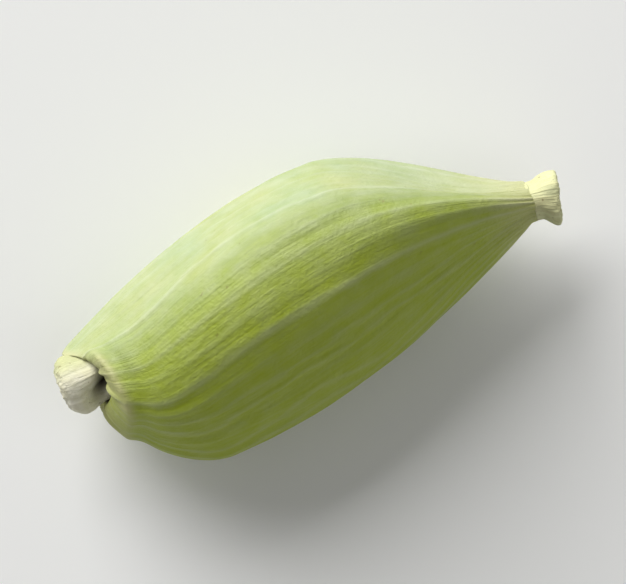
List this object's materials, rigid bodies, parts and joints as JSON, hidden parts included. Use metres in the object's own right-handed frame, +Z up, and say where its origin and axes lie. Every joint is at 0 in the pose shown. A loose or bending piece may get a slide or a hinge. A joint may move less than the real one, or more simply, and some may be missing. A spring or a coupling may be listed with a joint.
{
  "type": "green cardamom pod",
  "caption": "Dried green cardamom pod: a ribbed, triangular husk that tapers to a beak, with a stalk stub at its blunt end and a dry flower tip on the beak.",
  "frame": {"origin": "on the surface that the pod lies on, under the middle of its box", "axes": "+X along the pod from the stalk stub to the flower tip, +Z up from the face that it lies on"},
  "size_m": [0.0166, 0.0076, 0.006],
  "materials": {
    "husk": "dry fibrous husk, satin, green with paler ribs and yellowish and bluish patches",
    "stalk_stub": "dry broken stalk fibre, matt beige",
    "flower_tip": "dry papery flower remains, matt cream"
  },
  "bodies": {
    "root": {"husk": "husk", "stalk_stub": "stalk_stub", "flower_tip": "flower_tip"}
  },
  "joints": []
}
